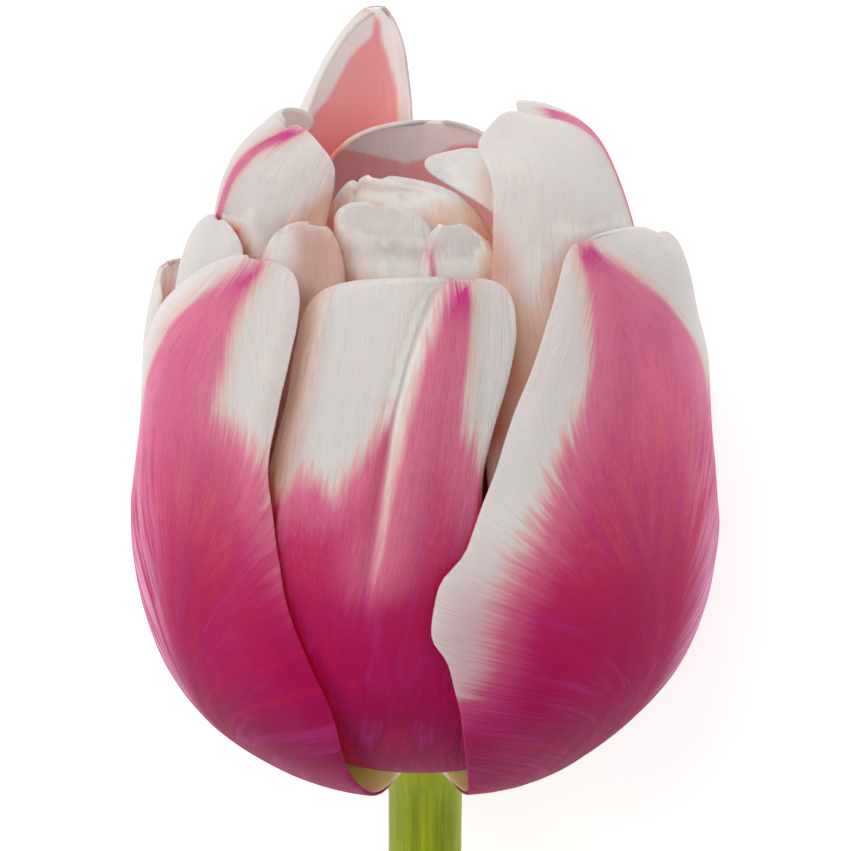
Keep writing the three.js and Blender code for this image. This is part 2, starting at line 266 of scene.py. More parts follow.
for vert in stem_skin.verts:
    x, y, height = vert.co
    vert[stem_place] = (x, y, height)
    # Three faint flats run down the shaft and turn a little round it.
    bearing = math.atan2(y, x)
    flatness = 1 + math.cos(3 * bearing + STEM_TWIST * height)
    growth = 1 - STEM_FLATTENING * flatness * smoothstep(-height, 2, 12)
    vert.co = (x * growth + stem_bow(height), y * growth, height)
stem = lay_down(stem_skin, "stem_skin", [stem_finish()])
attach(stem, "root")
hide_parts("stem")

# --- Pistil --------------------------------------------------------------------------------------
# The ovary stands on the receptacle, in the middle of the bloom: a fleshy three-angled column with
# a three-lobed, downy stigma on it. It grows there, like the six stamens round it.

PISTIL_PROFILE = [
    (0, 0), (1.4, 0), (1.55, 0.8), (1.6, 1.5), (2.3, 4), (2.85, 6.2), (3.1, 8), (3.05, 11),
    (2.9, 14), (2.5, 16), (2.2, 17), (2.25, 17.6), (2.4, 18), (3.1, 18.5), (3.6, 19.2),
    (3.65, 20), (3.4, 20.6), (2.6, 20.7), (1.4, 20.2), (0.6, 19.8), (0, 19.6),
]
STIGMA_HEIGHT = 17.5
OVARY_LOBING = 0.1
STIGMA_LOBING = 0.22
STIGMA_FRILL = 0.03
FRILL_COUNT = 18
OVARY_GREEN = srgb(176, 190, 116)
OVARY_SHADE = srgb(140, 158, 84)
STIGMA_CREAM = srgb(226, 214, 150)


def pistil_finish():
    finish = Finish(
        "ovary and stigma", Roughness=0.5, Subsurface_Weight=0.3, Subsurface_Scale=0.002,
        Subsurface_Radius=(0.8, 1.0, 0.3),
    )
    place = finish.attribute("pistil_place")
    mottle = finish.noise(finish.stretched(place, (0.9, 0.9, 0.35)), detail=4)
    down = finish.noise(place, scale=6, detail=2)
    colour = finish.blend(finish.ramp(mottle, 0.35, 0.65), OVARY_SHADE, OVARY_GREEN)
    height = finish.parts(place)["Z"]
    stigma = finish.ramp(height, STIGMA_HEIGHT - 0.5, STIGMA_HEIGHT + 1)
    colour = finish.blend(stigma, colour, STIGMA_CREAM)
    return finish.paint(colour, finish.math("ADD", mottle, down), 0.00015)


pistil_skin = bmesh.new()
pistil_place = pistil_skin.verts.layers.float_vector.new("pistil_place")
turn_profile(pistil_skin, PISTIL_PROFILE, steps=36)
for vert in pistil_skin.verts:
    x, y, height = vert.co
    vert[pistil_place] = (x, y, height)
    bearing = math.atan2(y, x)
    lobing = lerp(OVARY_LOBING, STIGMA_LOBING, smoothstep(height, STIGMA_HEIGHT - 0.7, 18))
    lobing *= smoothstep(height, 1.5, 5)
    frill = STIGMA_FRILL * math.sin(FRILL_COUNT * bearing) * smoothstep(height, 18, 19.2)
    swell = 1 + lobing * math.cos(3 * bearing) + frill
    vert.co = (x * swell, y * swell, height + RECEPTACLE_TOP + SEAT_GAP)
pistil = lay_down(pistil_skin, "pistil_body", [pistil_finish()])
round_off(pistil)
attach(pistil, "root")
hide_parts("pistil")

# --- Stamens -------------------------------------------------------------------------------------
# Six stamens grow round the pistil and spread outwards. Each is a slender pale filament that ends
# in a long anther of two pollen sacs, split by a furrow along its outer side.

STAMEN_COUNT = 6
STAMEN_RING = 2.35
STAMEN_SPREAD = math.radians(16)
STAMEN_PROFILE = [
    (0, 0), (0.5, 0), (0.6, 0.6), (0.57, 4), (0.52, 7.5), (0.35, 9), (0.6, 9.4), (1.05, 10),
    (1.22, 12), (1.25, 14), (1.2, 17), (1.1, 19), (0.8, 20.4), (0.45, 21), (0, 21.2),
]
ANTHER_FOOT = 9.6
FURROW_DEPTH = 0.28
FURROW_WIDTH = 0.3
FILAMENT_GREEN = srgb(206, 208, 150)
ANTHER_BROWN = srgb(72, 52, 46)
POLLEN = srgb(150, 128, 70)


def stamen_finish():
    finish = Finish("filament and anther", Roughness=0.75)
    place = finish.attribute("stamen_place")
    height = finish.parts(place)["Z"]
    grains = finish.noise(place, scale=9, detail=2)
    sacs = finish.blend(finish.ramp(grains, 0.52, 0.68), ANTHER_BROWN, POLLEN)
    anther = finish.ramp(height, ANTHER_FOOT - 0.5, ANTHER_FOOT + 0.3)
    colour = finish.blend(anther, FILAMENT_GREEN, sacs)
    return finish.paint(colour, grains, 0.0001)


stamen_material = stamen_finish()
for number in range(STAMEN_COUNT):
    stamen_skin = bmesh.new()
    stamen_place = stamen_skin.verts.layers.float_vector.new("stamen_place")
    turn_profile(stamen_skin, STAMEN_PROFILE, steps=16)
    bearing = number * 2 * math.pi / STAMEN_COUNT
    stand = (
        Matrix.Translation(Vector((
            STAMEN_RING * math.sin(bearing),
            -STAMEN_RING * math.cos(bearing),
            RECEPTACLE_TOP + SEAT_GAP,
        )))
        @ Matrix.Rotation(bearing, 4, "Z")
        @ Matrix.Rotation(STAMEN_SPREAD, 4, "X")
    )
    for vert in stamen_skin.verts:
        vert[stamen_place] = vert.co.copy()
        x, y, height = vert.co
        sac = smoothstep(height, ANTHER_FOOT - 0.2, ANTHER_FOOT + 1)
        furrow = 1 - FURROW_DEPTH * sac * math.exp(-(x / FURROW_WIDTH) ** 2)
        vert.co = stand @ Vector((x, y * furrow, height))
    stamen = lay_down(stamen_skin, f"stamen_body_{number + 1}", [stamen_material])
    round_off(stamen)
    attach(stamen, "root")
    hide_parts(f"stamen_{number + 1}")

# --- Outer whorl of petals -----------------------------------------------------------------------
# A petal is one thin living blade that grows from a ring of the receptacle: under 1 mm thick, with
# a keel up its middle and a finer margin. Its outside is white with a magenta flame that feathers
# out along the veins. The three largest petals close the bloom: left, right and rear.

PETAL_THICKNESS = 0.95
MARGIN_THICKNESS = 0.5
KEEL_HEIGHT = 0.15
KEEL_WIDTH = 2.4
RIB_HEIGHT = 0.1
SWELLING_HEIGHT = 0.45
RAGGEDNESS = 0.35
FINE_RAGGEDNESS = 0.14
RAG_COUNT = 9
FINE_RAG_COUNT = 31
TIP_HALF_WIDTH = 1.0
LEAST_ROUNDNESS = 4
LEAST_FEATHER = 0.1
TIP_THINNING = 8
SEED_SPACING = 7
TABLE_CLEARANCE = 0.02
# How fast ribs, swellings and waves change across the blade and along it, per millimetre.
RIBS_ACROSS, RIBS_ALONG = 0.75, 0.035
SWELLINGS_ACROSS, SWELLINGS_ALONG = 0.11, 0.08
WAVES_ALONG = 0.17
# Rows crowd towards the tip and columns towards the midrib, where the curves are tightest.
ROW_CROWDING = 1.5
COLUMN_CROWDING = 1.3

# A crease is a ridge, steep on its left and gentle on its right, beside a valley on its left.
RIDGE_LEFT = 0.4
RIDGE_RIGHT = 3.0
VALLEY_DEPTH = 0.7
VALLEY_OFFSET = 1.4
VALLEY_WIDTH = 1.1

# The lower profile, alike for all petals so that they nest: share of the way from foot to belly,
# and height above the foot.
SOLE_REACH = 0.31
CUP_PROFILE = [(0.66, 4.4), (0.9, 12.6), (1, 24)]
WAIST_PULL = 0.4

# The veins leave the midrib at a narrow angle, fan out to the margins and close in at the tip.
VEIN_START = 3.0
VEIN_FAN_END = 0.75
VEIN_RETURN = 0.25


def curve_through(values, share):
    """A smooth curve through evenly spaced values, read at a share from 0 to 1."""
    position = min(1, max(0, share)) * (len(values) - 1)
    index = min(int(position), len(values) - 2)
    w = position - index
    before = values[max(0, index - 1)]
    start, end = values[index], values[index + 1]
    after = values[min(len(values) - 1, index + 2)]
    leave = (end - before) / 2
    arrive = (after - start) / 2
    return (
        (2 * start - 2 * end + leave + arrive) * w ** 3
        + (3 * end - 3 * start - 2 * leave - arrive) * w ** 2
        + leave * w
        + start
    )


class Petal:
    """One petal's sizes, in millimetres and degrees, and the shape that follows from them.

    ring: ring of the receptacle it grows from. turn: azimuth of the midrib at its foot, 0 at the
    front and growing to the right. lean: how far the midrib has drifted round at the tip, from the
    share lean_start of its length on. belly, shoulder, tip: distances from the axis. neckline:
    height of the shoulder as a share. left, right: half-widths at eight even steps from foot to
    tip. blunt: how square each side ends. heel: how far it hangs below its foot. fullness: how
    round its lower half is. cup: how much tighter its cross-curve gets at the top.
    flame: the flame's border, as (across, share of the length) pairs from the left margin to the
    right one. blush: the same for the salmon of the inner skin. warmth: the same for a beige
    painted shade on the outer skin, where a neighbour lies over it. streak: length of the flame's
    feathers. fan: how strongly the veins spread. roll: how far each margin curls inwards. wave:
    height of the waves along the margins.
    lobes: (side, low, high, size) stretches of a margin that stick out. nicks: (across, depth,
    width) dips in the top edge. grooves: (along, depth, width) troughs across the petal. A depth
    below 0 raises the edge or the blade. fold: (its line across, height, where it rises, where it
    ends) of a sharp crease.
    """

    def __init__(
        self, ring, turn, lean, belly, shoulder, tip, height, left, right, blunt, flame,
        heel=1.7, fullness=1.0, neckline=0.86, cup=0.0, lean_start=0.15, streak=1.5, fan=4.0,
        roll=(0.5, 0.5), wave=0.3, lobes=(), nicks=(), grooves=(), fold=None, blush=None,
        warmth=None, columns=44, rows=60,
    ):
        self.turn, self.lean, self.cup = math.radians(turn), math.radians(lean), cup
        self.lean_start = lean_start
        self.left, self.right, self.blunt = left, right, blunt
        self.streak, self.fan, self.roll, self.wave = streak, fan, roll, wave
        self.lobes, self.nicks, self.grooves, self.fold = lobes, nicks, grooves, fold
        self.columns, self.rows = columns, rows
        self.seed = 10.0 * ring + turn / 36
        foot_radius, foot_height = RINGS[ring]
        reach = belly - foot_radius
        shoulder_height = lerp(foot_height, height, neckline)
        bowl_radii = [foot_radius + share ** (1 / fullness) * reach for share, _ in CUP_PROFILE]
        bowl_heights = [foot_height + climb for _, climb in CUP_PROFILE]
        self.radii = [
            foot_radius, foot_radius + SOLE_REACH * reach, *bowl_radii,
            lerp(belly, shoulder, WAIST_PULL), shoulder, tip,
        ]
        self.heights = [
            foot_height, foot_height - heel, *bowl_heights,
            (bowl_heights[-1] + shoulder_height) / 2, shoulder_height, height,
        ]
        self.lengths = self.measured_lengths()
        self.flame = self.in_millimetres(flame)
        self.blush = self.in_millimetres(blush or flame)
        self.warmth = self.in_millimetres(warmth or [])

    def measured_lengths(self, steps=60):
        """Length of the midrib from the foot to each of some even shares."""
        lengths = [0.0]
        for step in range(steps):
            low, high = step / steps, (step + 1) / steps
            rise = curve_through(self.heights, high) - curve_through(self.heights, low)
            run = curve_through(self.radii, high) - curve_through(self.radii, low)
            lengths.append(lengths[-1] + math.hypot(rise, run))
        return lengths

    def length_at(self, along):
        return curve_through(self.lengths, along)

    def in_millimetres(self, border):
        return [(across, self.length_at(along)) for across, along in border]

    def half_width(self, side, along):
        widths, blunt = (self.left, self.blunt[0]) if side < 0 else (self.right, self.blunt[1])
        width = curve_through(widths, along) * math.sqrt(max(0, 1 - along ** blunt))
        ragged = RAGGEDNESS * noise.noise(Vector((along * RAG_COUNT, side * 3.3, self.seed)))
        ragged += FINE_RAGGEDNESS * noise.noise(
            Vector((along * FINE_RAG_COUNT, side * 5.1, self.seed))
        )
        width += ragged * smoothstep(along, 0.15, 0.4)
        for lobe_side, low, high, size in self.lobes:
            if lobe_side * side > 0:
                swell = smoothstep(along, low - 0.025, low + 0.01)
                width += size * swell * (1 - smoothstep(along, high - 0.007, high + 0.007))
        return max(TIP_HALF_WIDTH, width)

    def relief(self, across, share, along):
        """Height of the keel, folds, swellings and waves over the plain blade."""
        length = self.length_at(along)
        free = smoothstep(along, 0.2, 0.75)
        keel = KEEL_HEIGHT * math.exp(-(across / KEEL_WIDTH) ** 2) * smoothstep(along, 0.1, 0.3)
        ribs = RIB_HEIGHT * noise.noise(
            Vector((across * RIBS_ACROSS, length * RIBS_ALONG, self.seed))
        )
        swelling = SWELLING_HEIGHT * free * noise.noise(
            Vector((across * SWELLINGS_ACROSS, length * SWELLINGS_ALONG, self.seed + 5))
        )
        edge = smoothstep(abs(share), 0.72, 1.0)
        wave = 2 * self.wave * free * edge * noise.noise(
            Vector((length * WAVES_ALONG, share, self.seed + 9))
        )
        roll = (self.roll[0] if share < 0 else self.roll[1]) * edge * edge
        roll *= smoothstep(along, 0.2, 0.45)
        sunk = 0.0
        for middle, depth, width in self.grooves:
            sunk += depth * math.exp(-((along - middle) / width) ** 2) * (1 - share * share)
        return keel + ribs + swelling + wave - roll - sunk + self.fold_height(across, along)

    def fold_height(self, across, along):
        """A crease: it stands up sharply beside a valley on its left and slopes away on its right."""
        if self.fold is None:
            return 0.0
        line, height, start, end = self.fold
        offset = across - curve_through(line, along)
        strength = height * smoothstep(along, *start) * (1 - smoothstep(along, *end))
        valley = VALLEY_DEPTH * math.exp(-((offset + VALLEY_OFFSET) / VALLEY_WIDTH) ** 2)
        slope = RIDGE_LEFT if offset < 0 else RIDGE_RIGHT
        return strength * (math.exp(-(offset / slope) ** 2) - valley)

    def point(self, across, along, share):
        distance = curve_through(self.radii, along)
        roundness = max(distance, LEAST_ROUNDNESS) / (1 + self.cup * smoothstep(along, 0.35, 0.9))
        centre = distance - roundness
        azimuth = self.turn + self.lean * smoothstep(along, self.lean_start, 1)
        out = roundness + self.relief(across, share, along)
        direction = azimuth + across / roundness
        height = curve_through(self.heights, along)
        for middle, depth, width in self.nicks:
            height -= depth * math.exp(-((across - middle) / width) ** 2) * smoothstep(along, 0.86, 1)
        place = Vector((
            centre * math.sin(azimuth) + out * math.sin(direction),
            -centre * math.cos(azimuth) - out * math.cos(direction),
            height,
        ))
        # Where the petal would sink into the table, its own weight presses it flat.
        depth = place.y * math.cos(LAY_ANGLE) - place.z * math.sin(LAY_ANGLE) - REST_DEPTH
        sink = max(0, depth + PETAL_THICKNESS / 2 + TABLE_CLEARANCE)
        return place - TABLE_DOWN * sink

    def vein(self, across, along):
        """Number of the vein through a point: it is the same all along one vein."""
        spread = smoothstep(along, 0, VEIN_FAN_END) - VEIN_RETURN * smoothstep(along, VEIN_FAN_END, 1)
        return math.asinh(abs(across) / VEIN_START) - self.fan * spread

    def vein_direction(self, across, along):
        """Unit vector (across, lengthwise) along the vein through a point."""
        step = 0.02
        sideways = (self.vein(abs(across) + step, along) - self.vein(abs(across), along)) / step
        share_step = step / self.lengths[-1]
        lengthways = (self.vein(across, along + share_step) - self.vein(across, along)) / step
        run = -lengthways / max(sideways, 1e-6) * (-1 if across < 0 else 1)
        size = math.hypot(run, 1)
        return run / size, 1 / size


def border_distance(border, across, length):
    """Distance to the border in millimetres, positive inside, and the direction to it."""
    nearest, toward = 1e9, (0.0, 1.0)
    inside = False
    for (x1, y1), (x2, y2) in zip(border, border[1:]):
        dx, dy = x2 - x1, y2 - y1
        share = ((across - x1) * dx + (length - y1) * dy) / max(dx * dx + dy * dy, 1e-9)
        share = min(1, max(0, share))
        gap_x, gap_y = x1 + share * dx - across, y1 + share * dy - length
        gap = math.hypot(gap_x, gap_y)
        if gap < nearest:
            nearest = gap
            toward = (gap_x / max(gap, 1e-6), gap_y / max(gap, 1e-6))
        if (x1 > across) != (x2 > across) and length < y1 + (across - x1) / (x2 - x1) * dy:
            inside = not inside
    return (nearest if inside else -nearest), toward


# Stands for the distance to a border that a petal doesn't have.
NO_BORDER = 50


def petal_skin(petal):
    """A grid drawn out into the petal's blade. Its points store what its finish needs:

    veins: number of the vein, length from the foot, a seed. stain: distance into the flame, length
    of its feathers, share of the length. blush: distance into the salmon, distance into the painted
    beige shade, how much the point faces sideways, which places the painted sheen.
    """
    skin = bmesh.new()
    bmesh.ops.create_grid(skin, x_segments=petal.columns, y_segments=petal.rows, size=1)
    thick = skin.verts.layers.deform.verify()
    veins = skin.verts.layers.float_vector.new("veins")
    stain = skin.verts.layers.float_vector.new("stain")
    inner = skin.verts.layers.float_vector.new("blush")
    for vert in skin.verts:
        share = math.copysign(abs(vert.co.x) ** COLUMN_CROWDING, vert.co.x)
        along = 1 - (1 - (vert.co.y + 1) / 2) ** ROW_CROWDING
        across = share * petal.half_width(share, along)
        length = petal.length_at(along)
        vert[veins] = (petal.vein(across, along), length, petal.seed * SEED_SPACING)
        inside, toward = border_distance(petal.flame, across, length)
        course = petal.vein_direction(across, along)
        feather = abs(toward[0] * course[0] + toward[1] * course[1])
        vert[stain] = (inside, petal.streak * (LEAST_FEATHER + feather), along)
        blush = border_distance(petal.blush, across, length)[0]
        warmth = border_distance(petal.warmth, across, length)[0]
        vert[thick][0] = (1 - share * share) * min(1, (1 - along) * TIP_THINNING)
        vert.co = petal.point(across, along, share)
        sideways = abs(vert.co.x) / math.hypot(vert.co.x, vert.co.y)
        vert[inner] = (blush, max(-NO_BORDER, warmth), sideways)
    return skin


WHITE = srgb(214, 209, 205)
COOL_WHITE = srgb(206, 202, 201)
VEIN_GREY = srgb(196, 184, 182)
PEACH = srgb(222, 172, 150)
BORDER_PINK = srgb(222, 134, 156)
SOFT_PINK = srgb(222, 114, 147)
ROSE = srgb(186, 42, 86)
FLESH = srgb(210, 108, 118)
VIOLET = srgb(174, 44, 122)
CRIMSON = srgb(186, 22, 70)
# Painted sheen: a lavender for the sides of the bloom, standing in for a grazing sheen.
SHEEN_LAVENDER = srgb(222, 150, 188)
MAUVE = srgb(192, 144, 156)
MAGENTA = srgb(166, 6, 82)
PURPLE = srgb(132, 0, 68)
TIP_MAGENTA = srgb(200, 44, 134)
# The pale foot green, the salmons and the inner white below are the skin's own colours, painted lighter
# than they are as painted light against the shade deep in the bloom.
FOOT_GREEN = srgb(236, 244, 206)
SALMON = srgb(252, 186, 192)
SALMON_DEEP = srgb(246, 176, 158)
CREAM = srgb(246, 226, 214)
LIT_INNER_WHITE = srgb(250, 246, 246)
# Painted light and shade for the parts that neighbouring petals hide: lighter white, warm beige and
# orange on the white, dark crimson on the pink.
LIT_WHITE = srgb(242, 238, 234)
LIT_BEIGE = srgb(244, 206, 184)
GLOW = srgb(250, 128, 100)
SHADE_CRIMSON = srgb(206, 16, 62)
# Painted shade: a beige for the outer skin where a neighbouring petal's margin lies over it.
SHADE_BEIGE = srgb(200, 152, 136)


def object_place(finish):
    return finish.add("TexCoord", {}).outputs["Object"]


def petal_outside():
    """White skin with the flame: streaks along the veins feather its border and mottle its body."""
    finish = Finish(
        "petal outside", Roughness=0.55, Specular_IOR_Level=0.06, Subsurface_Weight=0.6,
        Subsurface_Scale=0.0014, Subsurface_Radius=(1.0, 0.45, 0.4), Sheen_Weight=0.05,
        Sheen_Roughness=0.3, Sheen_Tint=(0.95, 0.8, 1.0, 1.0),
    )
    veins = finish.attribute("veins")
    length = finish.parts(veins)["Y"]
    inside, feather, along = finish.parts(finish.attribute("stain"))
    shade_and_sheen = finish.parts(finish.attribute("blush"))
    warmth, sideways = shade_and_sheen["Y"], shade_and_sheen["Z"]
    hidden = finish.parts(finish.attribute("hidden"))["X"]
    broad = finish.noise(finish.stretched(veins, (11, 0.1, 1)), detail=3, roughness=0.65)
    fine = finish.noise(finish.stretched(veins, (38, 0.3, 1)), detail=3, roughness=0.6)
    cells = finish.noise(finish.stretched(veins, (62, 0.9, 1)), detail=2)
    patches = finish.noise(finish.stretched(veins, (3, 0.12, 1)), detail=3)
    place = object_place(finish)
    clouds = finish.noise(place, scale=90, detail=3)
    grain = finish.noise(place, scale=1800, detail=2)

    # Short feathers end the flame itself, and longer faint wisps run out of it into the white.
    jagged = finish.math(
        "ADD", finish.ramp(broad, 0.25, 0.75, -0.8, 0.8), finish.ramp(fine, 0.25, 0.75, -0.3, 0.3)
    )
    edge = finish.math("ADD", inside, finish.math("MULTIPLY", feather, jagged))
    softness = finish.math("ADD", 0.2, finish.math("MULTIPLY", feather, 1.1))
    solid = finish.ramp(finish.math("DIVIDE", edge, softness), -1.0, 1.4)
    reach = finish.math("MULTIPLY", feather, finish.ramp(fine, 0.35, 0.72, -0.4, 2.6))
    wisps = finish.ramp(finish.math("ADD", inside, reach), -0.6, 2.6, 0, 0.3)
    stain = finish.math("MAXIMUM", solid, wisps)

    white = finish.blend(finish.ramp(clouds, 0.3, 0.75, 0, 0.6), WHITE, COOL_WHITE)
    white = finish.blend(finish.ramp(fine, 0.5, 0.7, 0, 0.2), white, VEIN_GREY)
    tufts = finish.ramp(broad, 0.35, 0.6, 0.15, 0.6)
    halo = finish.math("MULTIPLY", finish.ramp(edge, -1.8, 0), tufts)
    white = finish.blend(halo, white, PEACH)
    veil = finish.math("MULTIPLY", finish.ramp(edge, -9, -1, 0, 0.7), finish.ramp(along, 0.68, 0.54))
    white = finish.blend(veil, white, MAUVE)

    pink = finish.blend(finish.ramp(along, 0.3, 0.5), PURPLE, MAGENTA)
    pink = finish.blend(finish.ramp(along, 0.46, 0.66), pink, ROSE)
    pink = finish.blend(finish.ramp(along, 0.58, 0.84), pink, SOFT_PINK)
    upper = finish.ramp(along, 0.54, 0.7)
    fleshy = finish.math("MULTIPLY", upper, finish.ramp(patches, 0.48, 0.7, 0, 0.5))
    pink = finish.blend(fleshy, pink, FLESH)
    lower = finish.ramp(along, 0.8, 0.55)
    violet = finish.math("MULTIPLY", lower, finish.ramp(patches, 0.48, 0.32, 0, 0.5))
    pink = finish.blend(violet, pink, VIOLET)
    crimson = finish.math("MULTIPLY", lower, finish.ramp(patches, 0.5, 0.7, 0, 0.35))
    pink = finish.blend(crimson, pink, CRIMSON)
    pink = finish.blend(finish.ramp(edge, 9, 3, 0, 0.3), pink, VIOLET)
    pale = finish.math(
        "MULTIPLY", finish.ramp(edge, 6, 0.2, 0, 0.65), finish.ramp(along, 0.4, 0.65, 0.3, 1)
    )
    pale = finish.math("MULTIPLY", pale, finish.ramp(along, 0.96, 0.86, 0.4, 1))
    pink = finish.blend(pale, pink, BORDER_PINK)
    pink = finish.blend(finish.ramp(along, 0.9, 0.975, 0, 0.9), pink, TIP_MAGENTA)
    pink = finish.blend(finish.ramp(fine, 0.5, 0.3, 0, 0.3), pink, MAGENTA)
    speckles = finish.math("MULTIPLY", upper, finish.ramp(cells, 0.5, 0.72, 0, 0.25))
    pink = finish.blend(speckles, pink, BORDER_PINK)
    pink = finish.blend(finish.ramp(clouds, 0.5, 0.75, 0, 0.22), pink, VIOLET)
    # Painted sheen: lavender streaks on the pink where the bloom's sides turn away, lower down,
    # standing in for a grazing sheen.
    painted_sheen = finish.math(
        "MULTIPLY", finish.ramp(sideways, 0.84, 0.975, 0, 0.9), finish.ramp(broad, 0.36, 0.58)
    )
    painted_sheen = finish.math("MULTIPLY", painted_sheen, finish.ramp(along, 0.8, 0.5, 0.15, 1))
    pink = finish.blend(painted_sheen, pink, SHEEN_LAVENDER)

    # Painted light and shade: what its neighbours hide is painted lighter and warmer, as if lit
    # through them, and deep in the gaps the white turns orange and the pink dark crimson.
    lit = finish.math("MULTIPLY", finish.ramp(hidden, 0.1, 0.4, 0, 0.8), finish.ramp(length, 50, 58))
    white = finish.blend(lit, white, LIT_WHITE)
    # Painted shade: the white turns beige inside its painted-shade border, where a neighbour lies over
    # it.
    white = finish.blend(finish.ramp(warmth, -2, 2, 0, 0.8), white, SHADE_BEIGE)
    white = finish.blend(finish.ramp(hidden, 0.35, 0.75, 0, 0.85), white, LIT_BEIGE)
    white = finish.blend(finish.ramp(hidden, 0.65, 1.0, 0, 0.8), white, GLOW)
    pink = finish.blend(finish.ramp(hidden, 0.25, 0.8, 0, 0.8), pink, SHADE_CRIMSON)
    colour = finish.blend(stain, white, pink)
    grainy = finish.math("MULTIPLY", upper, finish.ramp(grain, 0.55, 0.8, 0, 0.12))
    colour = finish.blend(grainy, colour, PEACH)
    colour = finish.blend(finish.ramp(length, 7, 2.5), colour, FOOT_GREEN)
    relief = finish.math("ADD", fine, finish.math("MULTIPLY", broad, 0.8))
    return finish.paint(colour, relief, 0.00018)


def petal_inside():
    """The inner skin is salmon in the middle and white at the margins, with soft borders; its whites,
    salmons and foot green are painted lighter than the skin is, as painted light against the shade
    inside the bloom.
    """
    finish = Finish(
        "petal inside", Roughness=0.5, Specular_IOR_Level=0.25, Subsurface_Weight=0.85,
        Subsurface_Scale=0.0018, Subsurface_Radius=(1.0, 0.45, 0.4), Sheen_Weight=0.08,
        Sheen_Roughness=0.35,
    )
    veins = finish.attribute("veins")
    length = finish.parts(veins)["Y"]
    blush = finish.parts(finish.attribute("blush"))["X"]
    hidden = finish.parts(finish.attribute("hidden"))["Y"]
    fine = finish.noise(finish.stretched(veins, (30, 0.2, 1)), detail=3)
    clouds = finish.noise(object_place(finish), scale=90, detail=3)
    edge = finish.math("ADD", blush, finish.ramp(fine, 0.3, 0.7, -0.12, 0.12))
    colour = finish.blend(finish.ramp(length, 70, 40), LIT_INNER_WHITE, CREAM)
    colour = finish.blend(finish.ramp(clouds, 0.4, 0.7, 0, 0.15), colour, COOL_WHITE)
    salmon = finish.blend(finish.ramp(length, 72, 30), SALMON, SALMON_DEEP)
    salmon = finish.blend(finish.ramp(fine, 0.45, 0.75, 0, 0.3), salmon, CREAM)
    # Painted light: the inner skin turns warm beige where its neighbours hide it.
    colour = finish.blend(finish.ramp(hidden, 0.5, 1.0, 0, 0.6), colour, LIT_BEIGE)
    colour = finish.blend(finish.ramp(edge, -0.35, 0.4), colour, salmon)
    colour = finish.blend(finish.ramp(length, 20, 12), colour, FOOT_GREEN)
    return finish.paint(colour, fine, 0.0001)


OUTSIDE = petal_outside()
INSIDE = petal_inside()
petals = []


def grow_petal(name, **sizes):
    """Makes a petal: its blade is thickened to both sides of the middle and its rim is rounded."""
    petal = Petal(**sizes)
    blade = lay_down(petal_skin(petal), name + "_blade", [OUTSIDE, INSIDE])
    blade.vertex_groups.new(name="thick")
    wall = blade.modifiers.new("wall", "SOLIDIFY")
    wall.thickness = PETAL_THICKNESS * MILLIMETRE
    wall.offset = 0
    wall.vertex_group = "thick"
    wall.thickness_vertex_group = MARGIN_THICKNESS / PETAL_THICKNESS
    wall.material_offset = 1
    round_off(blade)
    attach(blade, "root")
    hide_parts(name)
    petals.append(blade)


grow_petal(
    "outer_petal_left", ring=0, turn=-64, lean=21,
    belly=30.7, shoulder=29.2, tip=25.2, height=58,
    left=[4.2, 11.2, 19.5, 25, 25, 21, 16, 9], right=[4.4, 9.4, 17, 19, 13.8, 8.3, 8, 6.8],
    blunt=(10, 26), streak=1.2, fan=5, roll=(0.3, 0.9), fullness=1.2, heel=1.95, wave=0.25,
    flame=[
        (-26, 0.5), (-14.4, 0.75), (-9.6, 0.845), (-5.2, 0.915), (-2.5, 0.94), (-0.1, 0.98),
        (1.6, 0.985), (1, 0.91), (1.5, 0.83), (1, 0.78), (7, 0.74), (11.7, 0.665), (17.2, 0.6),
        (30, 0.48),
    ],
)
grow_petal(
    "outer_petal_right", ring=0, turn=51.5, lean=-8.5,
    belly=30.7, shoulder=27, tip=23.2, height=59.4, cup=-0.1,
    left=[4.2, 7.6, 15.2, 20.9, 23.4, 16.6, 9, 5], right=[4.2, 9.5, 17, 22, 22, 21, 20, 20],
    blunt=(7, 40), streak=1.1, fan=8, roll=(0.6, 0.3), neckline=0.9, wave=0.3,
    lobes=[(-1, 0.53, 0.622, 1.9)], nicks=[(16.5, 0.8, 1.2), (21, 2.6, 9)],
    flame=[
        (-28, 0.43), (-20.6, 0.46), (-19.4, 0.5), (-19, 0.57), (-14.8, 0.635), (-10.4, 0.7),
        (-5.6, 0.765), (-4.4, 0.79), (-2.5, 0.9), (-1.6, 0.96), (-0.6, 1), (0.6, 0.99), (1.3, 0.945),
        (4.6, 0.885), (8.5, 0.841), (14.6, 0.78), (20, 0.7), (30, 0.5),
    ],
)
grow_petal(
    "outer_petal_rear", ring=0, turn=186, lean=-4,
    belly=31.1, shoulder=29, tip=24, height=59,
    left=[4.2, 9.5, 17, 22, 24, 22, 19, 14], right=[4.2, 9.5, 17, 22, 24, 22, 18, 13],
    blunt=(12, 12), streak=1.5, fan=6,
    flame=[
        (-30, 0.45), (-19, 0.6), (-12, 0.74), (-6.5, 0.86), (-2, 0.95), (-0.7, 1), (0.7, 1),
        (2, 0.95), (6, 0.87), (12.5, 0.73), (19, 0.6), (30, 0.45),
    ],
)

# --- Second whorl --------------------------------------------------------------------------------
# Three petals stand in the gaps of the outer whorl, one ring further up the receptacle. The front
# one is folded sharply along its middle, so a white crease runs down beside its stripe.

